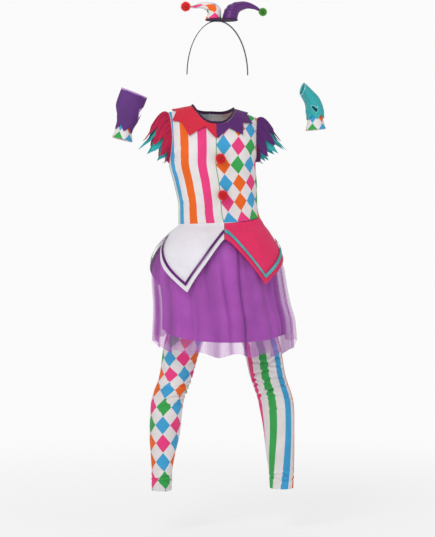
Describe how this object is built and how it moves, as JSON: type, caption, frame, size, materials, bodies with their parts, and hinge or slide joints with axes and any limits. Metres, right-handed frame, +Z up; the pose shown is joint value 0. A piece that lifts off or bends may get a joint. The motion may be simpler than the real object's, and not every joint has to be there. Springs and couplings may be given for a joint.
{
  "type": "harlequin costume",
  "caption": "Child's harlequin costume as worn: striped and diamond dress with pointed overskirt and net skirt, leggings, fingerless gloves and mini jester hat.",
  "frame": {"origin": "midway between the shoulders, where the wearer holds up the dress", "axes": "+Z up, the costume's front faces -Y, +X towards the wearer's left"},
  "size_m": [0.5596, 0.3378, 1.2681],
  "materials": {
    "stripes": "matte printed knit, vertical stripes",
    "diamonds": "matte printed knit, diamonds",
    "red": "matte knit",
    "purple": "matte knit",
    "dark": "matte knit",
    "crimson": "matte knit",
    "teal": "matte knit",
    "white": "smooth woven cloth",
    "pink": "smooth woven cloth",
    "purple_satin": "satin ribbon",
    "teal_satin": "satin ribbon",
    "net": "sheer net",
    "slip": "satin lining cloth",
    "pompom_red": "fluffy yarn",
    "pompom_green": "fluffy yarn"
  },
  "bodies": {
    "root": {"bodice_front_left": "stripes", "bodice_front_right": "diamonds", "bodice_back_left": "stripes", "bodice_back_right": "diamonds", "collar_left": "red", "collar_right": "purple", "neck_binding": "dark", "sleeve_left_upper": "crimson", "sleeve_left_lower": "teal", "sleeve_right_upper": "purple", "sleeve_right_lower": "teal", "skirt_panel_front_left": "white", "skirt_panel_front_right": "pink", "skirt_panel_back_left": "white", "skirt_panel_back_right": "pink", "ribbon_front_left": "purple_satin", "ribbon_front_right": "teal_satin", "ribbon_back_left": "purple_satin", "ribbon_back_right": "teal_satin", "net_skirt": "net", "under_skirt": "slip", "legging_left": "diamonds", "legging_right": "stripes", "leggings_waistband": "purple", "glove_left": "purple", "glove_right": "teal", "cuff_left": "diamonds", "cuff_right": "diamonds", "horn_diamonds": "diamonds", "horn_purple": "purple", "hat_base": "dark", "headband": "dark", "pompom_upper": "pompom_red", "pompom_lower": "pompom_red", "horn_ball_red": "pompom_red", "horn_ball_green": "pompom_green"}
  },
  "joints": []
}
